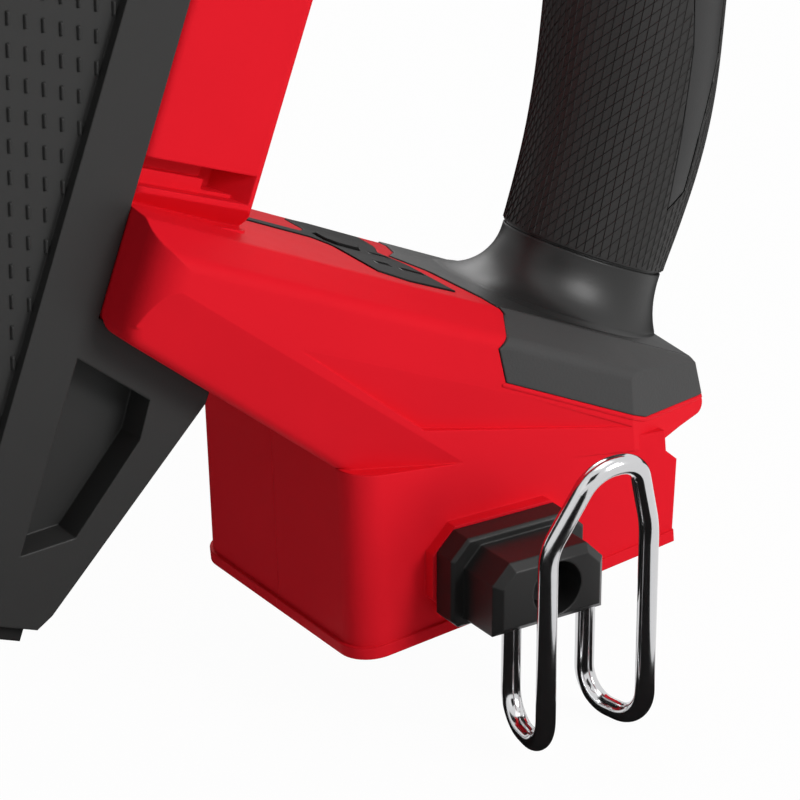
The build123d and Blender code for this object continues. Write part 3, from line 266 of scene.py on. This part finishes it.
def soft_edges(tree, radius):
    """The surface's direction rounded over its edges, and how near an edge lies, from 0 to 1."""
    bevel = tree.nodes.new("ShaderNodeBevel")
    bevel.samples = EDGE_SAMPLES
    bevel.inputs["Radius"].default_value = radius
    flat = tree.nodes.new("ShaderNodeNewGeometry")
    turn = tree.nodes.new("ShaderNodeVectorMath")
    turn.operation = "DOT_PRODUCT"
    tree.links.new(bevel.outputs[0], turn.inputs[0])
    tree.links.new(flat.outputs["Normal"], turn.inputs[1])
    return bevel.outputs[0], spread(tree, turn.outputs["Value"], 0, 1, *EDGE_TURN)


def shade(base, factor):
    return tuple(min(c * factor, 1) for c in base[:3]) + (1,)


def moulded(name, base, rough, grain, depth, gloss=0.2, wear=1.25):
    """Moulded plastic: flow marks, uneven sheen, fine grain and edges rubbed paler."""
    material, tree, shader, place = finish(name)
    edge, near = soft_edges(tree, bpy.context.scene.nailer_sizes.edge_round)
    low, high = (shade(base, factor) for factor in FLOW_SHADES)
    flow = two_tone(tree, noise(tree, place, FLOW_SIZE, 3), low, high)
    rubbed = maths(tree, "MULTIPLY", near, noise(tree, place, RUB_SIZE, 3))
    tree.links.new(two_tone(tree, rubbed, flow, shade(base, wear)), shader.inputs["Base Color"])
    sheen = noise(tree, place, SHEEN_SIZE, 2)
    sheen = spread(tree, sheen, rough - SHEEN_SPREAD, rough + SHEEN_SPREAD)
    polish = maths(tree, "MULTIPLY_ADD", rubbed, RUB_POLISH, sheen)
    tree.links.new(polish, shader.inputs["Roughness"])
    shader.inputs["Specular IOR Level"].default_value = gloss
    raise_surface(tree, shader, noise(tree, place, grain, 2, 0.6), depth, edge)
    return material


def metal(name, base, rough, scratch=0.0003, depth=0.000004):
    """Bare metal with fine marks along the drive and brighter edges."""
    material, tree, shader, place = finish(name)
    edge, near = soft_edges(tree, bpy.context.scene.nailer_sizes.edge_round / 2)
    stretch = tree.nodes.new("ShaderNodeMapping")
    stretch.inputs["Scale"].default_value = MARK_STRETCH
    tree.links.new(place, stretch.inputs["Vector"])
    marks = noise(tree, stretch.outputs["Vector"], scratch, 3)
    shader.inputs["Metallic"].default_value = 1
    tone = two_tone(tree, marks, shade(base, MARK_SHADE), base)
    tone = two_tone(tree, near, tone, shade(base, EDGE_SHADE))
    tree.links.new(tone, shader.inputs["Base Color"])
    tree.links.new(spread(tree, marks, rough - 0.06, rough + 0.08), shader.inputs["Roughness"])
    raise_surface(tree, shader, marks, depth, edge)
    return material


def polished(name, base, rough):
    """Bright plating with a faint haze."""
    material, tree, shader, place = finish(name)
    haze = noise(tree, place, 0.004, 3)
    shader.inputs["Metallic"].default_value = 1
    tree.links.new(two_tone(tree, haze, shade(base, 0.95), base), shader.inputs["Base Color"])
    tree.links.new(spread(tree, haze, rough, rough + 0.05), shader.inputs["Roughness"])
    raise_surface(tree, shader, noise(tree, place, 0.0012, 2), 0.000004)
    return material


def rubber(name, base):
    """Matt rubber, its skin faintly pebbled and its colour uneven."""
    material, tree, shader, place = finish(name)
    worn = noise(tree, place, 0.02, 3)
    tone = two_tone(tree, worn, shade(base, 0.85), shade(base, 1.15))
    tree.links.new(tone, shader.inputs["Base Color"])
    sheen = spread(tree, noise(tree, place, 0.003, 2), 0.46, 0.56)
    tree.links.new(sheen, shader.inputs["Roughness"])
    shader.inputs["Specular IOR Level"].default_value = 0.3
    raise_surface(tree, shader, noise(tree, place, 0.0003, 2), 0.00002)
    return material


def dress(material, names):
    for name in names.split():
        piece = nodes[name]
        piece.data.materials.clear()
        piece.data.materials.append(material)


# Modelling
def start(add, name, **options):
    """A new primitive, alone in the selection."""
    bpy.ops.object.select_all(action="DESELECT")
    add(**options)
    piece = bpy.context.object
    piece.name = name
    return piece


def edit(piece, pick=None):
    """Enter edit mode with the points that pick chooses selected, or with all."""
    bpy.ops.object.mode_set(mode="EDIT")
    bpy.ops.mesh.select_mode(type="VERT")
    bpy.ops.mesh.select_all(action="DESELECT" if pick else "SELECT")
    if pick:
        bpy.ops.object.mode_set(mode="OBJECT")
        for point in piece.data.vertices:
            point.select = pick(point.co)
        bpy.ops.object.mode_set(mode="EDIT")


def done():
    bpy.ops.object.mode_set(mode="OBJECT")


def apply(piece, kind, **settings):
    """Add a modifier, set it and apply it."""
    modifier = piece.modifiers.new(kind.lower(), kind)
    for name, value in settings.items():
        setattr(modifier, name, value)
    bpy.ops.object.modifier_apply(modifier=modifier.name)


def settle():
    """Put the selected piece's place into its mesh."""
    bpy.ops.object.transform_apply(location=True, rotation=True, scale=True)


def side_cutter(outline, half_width):
    """A prism over a side outline in the grip frame, to cut with."""
    prism = start(bpy.ops.mesh.primitive_circle_add, "cutter",
                  vertices=len(outline), fill_type="NGON")
    for point, (x, z) in zip(prism.data.vertices, outline):
        point.co = (x, -half_width, z)
    edit(prism)
    bpy.ops.mesh.extrude_region_move(TRANSFORM_OT_translate={"value": (0, 2 * half_width, 0)})
    bpy.ops.mesh.select_all(action="SELECT")
    bpy.ops.mesh.normals_make_consistent(inside=False)
    done()
    prism.matrix_world = GRIP_FRAME
    settle()
    return prism


def carve(piece, cutter):
    """Cut one piece by another, which is used up."""
    bpy.ops.object.select_all(action="DESELECT")
    piece.select_set(True)
    bpy.context.view_layer.objects.active = piece
    apply(piece, "BOOLEAN", operation="DIFFERENCE", object=cutter, solver="MANIFOLD")
    bpy.data.objects.remove(cutter)


class NailerStep:
    bl_options = {"REGISTER"}

    @property
    def colours(self):
        return bpy.context.scene.nailer_colours

    @property
    def sizes(self):
        return bpy.context.scene.nailer_sizes


class NAILER_OT_case(NailerStep, bpy.types.Operator):
    """Dress the red housing."""

    bl_idname = "nailer.case"
    bl_label = "Case"

    def execute(self, context):
        red = tuple(self.colours.case_red)
        dress(moulded("case_red", red, 0.45, self.sizes.grain, 0.00002, 0.03),
              "housing_left housing_right")
        return {"FINISHED"}


class NAILER_OT_mouldings(NailerStep, bpy.types.Operator):
    """Dress the black and grey mouldings."""

    bl_idname = "nailer.mouldings"
    bl_label = "Black and grey mouldings"

    def execute(self, context):
        black = tuple(self.colours.case_black)
        grey = tuple(self.colours.trim_grey)
        grain = self.sizes.grain
        dress(moulded("satin_black", black, 0.4, grain, 0.00002, 0.35),
              "handle_collar rear_cap hook_block nose_door trigger depth_wheel magazine_latch"
              " magazine_end_cap gear_case terminal_block rail_plate motor_fan trigger_switch")
        dress(moulded("textured_grey", grey, 0.55, 0.0007, 0.00008),
              "guard_plate_left guard_plate_right")
        dress(moulded("strip_grey", shade(grey, 0.6), 0.42, grain, 0.00002),
              "grip_strip_left grip_strip_right")
        dress(moulded("panel_black", shade(black, 0.8), 0.38, grain, 0.00002, 0.05),
              "control_panel mode_button")
        dress(moulded("window_gloss", shade(black, 0.5), 0.08, 0.004, 0.000002, 0.5),
              "panel_windows")
        dress(moulded("soft_tip", shade(black, 1.2), 0.6, grain, 0.00004),
              "no_mar_tip bumper piston_seal")
        dress(moulded("board_green", (0.012, 0.12, 0.045, 1), 0.35, 0.002, 0.00001),
              "control_board")
        return {"FINISHED"}


class NAILER_OT_magazine(NailerStep, bpy.types.Operator):
    """Dress the magazine and set the tread's slanted bars on its sunk flanks."""

    bl_idname = "nailer.magazine"
    bl_label = "Magazine"

    def execute(self, context):
        tone = shade(tuple(self.colours.case_black), 2.4)
        black = moulded("magazine_black", tone, 0.45, self.sizes.grain, 0.00002)
        dress(black, "magazine_cover")
        for name, side in (("left", -1), ("right", 1)):
            tread = self.tread(f"magazine_tread_{name}", side)
            tread.data.materials.append(black)
            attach(tread, "tool")
        return {"FINISHED"}

    def bar(self):
        """One bar, lying along x: a block with a narrow crest and broken edges."""
        length, width, height = self.sizes.tread_bar
        bar = start(bpy.ops.mesh.primitive_cube_add, "tread_bar", size=1)
        bar.scale = (length, width, 2 * height)
        settle()
        edit(bar, lambda point: point.z > 0)
        bpy.ops.transform.resize(value=BAR_CREST)
        bpy.ops.mesh.select_all(action="SELECT")
        bpy.ops.mesh.bevel(offset=height * BAR_BROKEN, segments=1)
        done()
        return bar

    def tread(self, name, side):
        """All the bars of one flank, in staggered columns."""
        bar = self.bar()
        length = self.sizes.tread_bar[0]
        column, pitch = self.sizes.tread_column, self.sizes.tread_pitch
        lean = Matrix.Rotation(side * (math.pi / 2 - self.sizes.tread_slant), 4, "Z")
        stand = Matrix(((1, 0, 0, 0), (0, 0, side, 0), (0, -side, 0, 0), (0, 0, 0, 1)))
        bars = []
        foot, rise = FLANK_FOOT
        for line in range(round((FLANK_BACK - FLANK_FRONT) / column)):
            x = FLANK_BACK - (line + COLUMN_START) * column
            low = foot + (x - FLANK_BACK) * rise + length
            start_z = low - low % pitch + (line % 2) * pitch / 2
            for row in range(round((FLANK_TOP - low) / pitch) + 1):
                z = start_z + row * pitch
                if low < z < FLANK_TOP - length / 2 and x > FLANK_FRONT + length / 2:
                    copy = bpy.data.objects.new("tread_bar", bar.data.copy())
                    place = Matrix.Translation((x, side * FLANK_SIDE, z))
                    copy.matrix_world = GRIP_FRAME @ place @ stand @ lean
                    bpy.context.scene.collection.objects.link(copy)
                    bars.append(copy)
        bpy.data.objects.remove(bar)
        bpy.ops.object.select_all(action="DESELECT")
        for copy in bars:
            copy.select_set(True)
        tread = bars[0]
        bpy.context.view_layer.objects.active = tread
        bpy.ops.object.join()
        tread.name = name
        settle()
        return tread


class NAILER_OT_grip(NailerStep, bpy.types.Operator):
    """Raise the net of lengthwise and slanted lines on the rubber sleeve and dress both."""

    bl_idname = "nailer.grip"
    bl_label = "Grip"

    def execute(self, context):
        black = rubber("grip_rubber", tuple(self.colours.grip_black))
        dress(black, "grip_sleeve")
        net = self.net()
        net.data.materials.clear()
        net.data.materials.append(black)
        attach(net, "tool")
        return {"FINISHED"}

    def net(self):
        """The net: a line wound up in a screw, laid on the sleeve, its cells sunk, its wall thin."""
        sizes = self.sizes
        lines, cell = sizes.grip_lines, sizes.grip_cell
        slant, ridge = sizes.grip_slant, sizes.grip_ridge
        rows = slant + NET_OVERLAP
        length = rows * cell
        net = start(bpy.ops.mesh.primitive_grid_add, "grip_net", x_subdivisions=1,
                    y_subdivisions=rows, size=length, rotation=(math.pi / 2, 0, 0))
        settle()
        edit(net, lambda point: point.x < 0)
        bpy.ops.mesh.delete(type="VERT")
        bpy.ops.mesh.select_all(action="SELECT")
        bpy.ops.transform.translate(value=(SLEEVE_RADIUS - length / 2, 0, -slant * cell / 2))
        done()
        apply(net, "SCREW", angle=2 * math.pi, screw_offset=slant * cell, steps=lines,
              render_steps=lines, use_merge_vertices=True, merge_threshold=MERGE)
        stand = GRIP_FRAME @ Matrix.Translation(SLEEVE_MIDDLE)
        stand = stand @ Matrix.Rotation(SLEEVE_TILT, 4, "Y")
        stand = stand @ Matrix.Diagonal((1, SLEEVE_FLATNESS, 1, 1))
        net.matrix_world = stand
        settle()
        to_grip, to_tube = GRIP_FRAME.inverted(), stand.inverted()
        low, high = SLEEVE_FOOT - NET_BELOW * cell, SLEEVE_TOP + NET_ABOVE * cell
        edit(net, lambda point: not low < (to_grip @ point).z < high)
        bpy.ops.mesh.delete(type="VERT")
        bpy.ops.mesh.select_all(action="SELECT")
        bpy.ops.mesh.remove_doubles(threshold=MERGE)
        bpy.ops.mesh.normals_make_consistent(inside=False)
        done()
        wrapped = self.smooth_sleeve()
        bpy.ops.object.select_all(action="DESELECT")
        net.select_set(True)
        bpy.context.view_layer.objects.active = net
        apply(net, "SHRINKWRAP", target=wrapped, wrap_method="PROJECT", wrap_mode="ABOVE_SURFACE",
              use_positive_direction=False, use_negative_direction=True,
              project_limit=SLEEVE_RADIUS / 2, offset=NET_LIFT * ridge)
        bpy.data.objects.remove(wrapped)
        edit(net, lambda point: (to_tube @ point).xy.length > NET_MISSED * SLEEVE_RADIUS)
        bpy.ops.mesh.delete(type="VERT")
        bpy.ops.mesh.select_mode(type="FACE")
        bpy.ops.mesh.select_all(action="SELECT")
        bpy.ops.mesh.inset(thickness=ridge, depth=-ridge, use_individual=True,
                           use_even_offset=False)
        done()
        apply(net, "SOLIDIFY", thickness=NET_WALL * ridge, offset=-1)
        for outline, half_width in self.cuts():
            carve(net, side_cutter(outline, half_width))
        bpy.ops.object.shade_smooth_by_angle(angle=NET_SMOOTH)
        return net

    def cuts(self):
        """Side outlines of what the net leaves free: both ends, the strips and the trigger."""
        width = SLEEVE_RADIUS * 2
        front, back = SLEEVE_MIDDLE.x - width, SLEEVE_MIDDLE.x + width
        fall = math.tan(SLEEVE_FOOT_FALL)
        foot_front = SLEEVE_FOOT + NET_MARGIN + (SLEEVE_FOOT_X - front) * fall
        foot_back = SLEEVE_FOOT + NET_MARGIN - (back - SLEEVE_FOOT_X) * fall
        top = SLEEVE_TOP - NET_MARGIN
        (x_low, z_low), (x_high, z_high) = TRIGGER_ROOM
        return (
            (((front, 0), (back, 0), (back, foot_back), (front, foot_front)), width),
            (((front, top), (back, top), (back, 2 * top), (front, 2 * top)), width),
            (STRIP_OUTLINE, width),
            (((x_low, z_low), (x_high, z_low), (x_high, z_high), (x_low, z_high)),
             TRIGGER_HALF_WIDTH),
        )

    def smooth_sleeve(self):
        """The sleeve with its strips filled in, to lay the net on."""
        bpy.ops.object.select_all(action="DESELECT")
        for name in ("grip_sleeve", "grip_strip_left", "grip_strip_right"):
            whole = bpy.data.objects.new("smooth_sleeve", nodes[name].data.copy())
            bpy.context.scene.collection.objects.link(whole)
            whole.select_set(True)
        bpy.context.view_layer.objects.active = whole
        bpy.ops.object.join()
        to_grip = GRIP_FRAME.inverted()
        slope = math.tan(SLEEVE_FOOT_FALL)

        def above_foot(point):
            place = to_grip @ point
            return place.z - SLEEVE_FOOT + (place.x - SLEEVE_FOOT_X) * slope

        ends = (
            (lambda point: abs(above_foot(point)) < AT_END, -1),
            (lambda point: abs((to_grip @ point).z - SLEEVE_TOP) < AT_END, 1),
        )
        edit(whole)
        bpy.ops.mesh.remove_doubles(threshold=MERGE)
        for pick, way in ends:
            done()
            edit(whole, pick)
            reach = GRIP_FRAME.to_3x3() @ Vector((0, 0, way * SLEEVE_RADIUS / 3))
            bpy.ops.mesh.extrude_region_move(TRANSFORM_OT_translate={"value": reach})
        done()
        return whole


class NAILER_OT_metals(NailerStep, bpy.types.Operator):
    """Dress the metal pieces."""

    bl_idname = "nailer.metals"
    bl_label = "Metal pieces"

    def execute(self, context):
        dress(polished("bright_wire", (0.64, 0.64, 0.65, 1), 0.11), "hook_wire")
        dress(metal("ground_steel", (0.5, 0.5, 0.51, 1), 0.3),
              "driver_blade lifter_wheel gear_carrier planet_gear_1 planet_gear_2 planet_gear_3"
              " motor_rotor motor_bearings carrier_bearing motor_stator contact_trip pusher")
        dress(metal("blackened_steel", (0.06, 0.06, 0.062, 1), 0.38),
              "hook_screw case_screws cap_screws nose_screws door_pin door_latch trigger_pin"
              " trip_spring trigger_spring pusher_spring")
        dress(metal("cast_nose", (0.3, 0.3, 0.31, 1), 0.42, 0.0012, 0.00003), "nose_frame")
        dress(metal("machined_aluminium", (0.72, 0.72, 0.73, 1), 0.32),
              "cylinder cylinder_head piston magazine_rail")
        dress(metal("brass", (0.68, 0.44, 0.16, 1), 0.28),
              "hook_inserts terminal_blades fill_valve")
        return {"FINISHED"}


class NAILER_OT_light(NailerStep, bpy.types.Operator):
    """Dress the work light's lens."""

    bl_idname = "nailer.light"
    bl_label = "Work light"

    def execute(self, context):
        material, tree, shader, place = finish("clear_lens")
        shader.inputs["Base Color"].default_value = (0.93, 0.95, 0.97, 1)
        shader.inputs["Transmission Weight"].default_value = 0.8
        haze = spread(tree, noise(tree, place, 0.003, 2), 0.04, 0.1)
        tree.links.new(haze, shader.inputs["Roughness"])
        raise_surface(tree, shader, noise(tree, place, 0.002, 1), 0.00004)
        dress(material, "work_light")
        return {"FINISHED"}


class NAILER_OT_stage(NailerStep, bpy.types.Operator):
    """Set up the floor, the light and the camera."""

    bl_idname = "nailer.stage"
    bl_label = "Studio"

    def execute(self, context):
        self.floor()
        self.surroundings(context.scene)
        for name, place, size, power in LAMPS:
            lamp = bpy.data.lights.new(name, "AREA")
            lamp.size = size
            lamp.energy = power
            holder = bpy.data.objects.new(name, lamp)
            context.scene.collection.objects.link(holder)
            holder.location = place
            holder.rotation_euler = (AIM - holder.location).to_track_quat("-Z", "Y").to_euler()
        self.cards()
        self.camera(context.scene)
        context.scene.view_settings.view_transform = "Standard"
        return {"FINISHED"}

    def floor(self):
        """A pale floor, all but white to the eye and in reflections, that keeps the shadow."""
        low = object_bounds()[0][2] - self.sizes.floor_gap
        floor = start(bpy.ops.mesh.primitive_plane_add, "studio_floor", size=FLOOR_SIZE,
                      location=(0, 0, low))
        material, tree, shader, place = finish("floor_pale")
        pale = tuple(self.colours.floor_pale)
        shader.inputs["Roughness"].default_value = 0.8
        tone = two_tone(tree, noise(tree, place, 0.3, 2), shade(pale, 0.99), pale)
        tree.links.new(tone, shader.inputs["Base Color"])
        glow = tree.nodes.new("ShaderNodeEmission")
        path = tree.nodes.new("ShaderNodeLightPath")
        seen = maths(tree, "MAXIMUM", path.outputs["Is Camera Ray"], path.outputs["Is Glossy Ray"])
        blend = tree.nodes.new("ShaderNodeMixShader")
        tree.links.new(maths(tree, "MULTIPLY", seen, FLOOR_GLOW), blend.inputs[0])
        tree.links.new(shader.outputs[0], blend.inputs[1])
        tree.links.new(glow.outputs[0], blend.inputs[2])
        tree.links.new(blend.outputs[0], tree.nodes["Material Output"].inputs["Surface"])
        floor.data.materials.append(material)
        floor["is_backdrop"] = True

    def surroundings(self, scene):
        """White to the eye, in reflections and through the lens; dim as a light."""
        scene.world = bpy.data.worlds.new("studio_white")
        scene.world.use_nodes = True
        tree = scene.world.node_tree
        back = tree.nodes["Background"]
        path = tree.nodes.new("ShaderNodeLightPath")
        seen = maths(tree, "MAXIMUM", path.outputs["Is Camera Ray"], path.outputs["Is Glossy Ray"])
        seen = maths(tree, "MAXIMUM", seen, path.outputs["Is Transmission Ray"])
        tree.links.new(spread(tree, seen, DIM_WORLD, 1), back.inputs["Strength"])
        back.inputs["Color"].default_value = (1, 1, 1, 1)

    def cards(self):
        """Dark cards that only reflections show."""
        material, _, shader, _ = finish("card_black")
        shader.inputs["Base Color"].default_value = (0.02, 0.02, 0.02, 1)
        shader.inputs["Specular IOR Level"].default_value = 0
        toward = (EYE - AIM).normalized()
        ahead = Vector((toward.x, toward.y, 0)).normalized()
        along = Vector((-ahead.y, ahead.x, 0))
        shift, reach = HOOK_CARD_SHIFT
        low = Vector((0, 0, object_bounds()[0][2]))
        facing = toward.to_track_quat("Z", "Y").to_matrix().to_4x4()
        flat = Matrix((along, ahead, (0, 0, 1))).transposed().to_4x4()
        hook_card_place = HOOK_PLACE + shift * along + reach * ahead + low
        stands = (
            (Matrix.Translation(AIM + CARD_DISTANCE * toward) @ facing, CARD_SIZE),
            (Matrix.Translation(hook_card_place) @ flat, HOOK_CARD_SIZE),
            (Matrix.Translation(BACK_CARD_PLACE + low), BACK_CARD_SIZE),
        )
        for stand, (width, depth) in stands:
            card = start(bpy.ops.mesh.primitive_plane_add, "dark_card", size=1)
            card.matrix_world = stand @ Matrix.Diagonal((width, depth, 1, 1))
            card.data.materials.append(material)
            for ray in ("camera", "diffuse", "shadow", "transmission"):
                setattr(card, f"visible_{ray}", False)
            card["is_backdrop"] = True

    def camera(self, scene):
        lens = bpy.data.cameras.new("camera")
        lens.sensor_width = SENSOR
        lens.lens = LENS
        camera = bpy.data.objects.new("camera", lens)
        scene.collection.objects.link(camera)
        back = (EYE - AIM).normalized()
        right = UPRIGHT.cross(back).normalized()
        turn = Matrix((right, back.cross(right), back)).transposed().to_4x4()
        camera.matrix_world = Matrix.Translation(EYE) @ turn
        scene.camera = camera


STEPS = (
    NAILER_OT_case,
    NAILER_OT_mouldings,
    NAILER_OT_magazine,
    NAILER_OT_grip,
    NAILER_OT_metals,
    NAILER_OT_light,
    NAILER_OT_stage,
)


class NAILER_PT_looks(bpy.types.Panel):
    """The nailer's steps, colours and sizes."""

    bl_label = "Nailer"
    bl_space_type = "VIEW_3D"
    bl_region_type = "UI"
    bl_category = "Nailer"

    def draw(self, context):
        for group in (context.scene.nailer_colours, context.scene.nailer_sizes):
            for name in group.__annotations__:
                self.layout.prop(group, name)
        for step in STEPS:
            self.layout.operator(step.bl_idname)


CLASSES = (NailerColours, NailerSizes) + STEPS + (NAILER_PT_looks,)


def register():
    for entry in CLASSES:
        bpy.utils.register_class(entry)
    bpy.types.Scene.nailer_colours = bpy.props.PointerProperty(type=NailerColours)
    bpy.types.Scene.nailer_sizes = bpy.props.PointerProperty(type=NailerSizes)


def unregister():
    del bpy.types.Scene.nailer_sizes
    del bpy.types.Scene.nailer_colours
    for entry in reversed(CLASSES):
        bpy.utils.unregister_class(entry)


def main():
    register()
    bpy.ops.nailer.case()
    bpy.ops.nailer.mouldings()
    bpy.ops.nailer.magazine()
    bpy.ops.nailer.grip()
    bpy.ops.nailer.metals()
    bpy.ops.nailer.light()
    bpy.ops.nailer.stage()


if __name__ == "__main__":
    main()
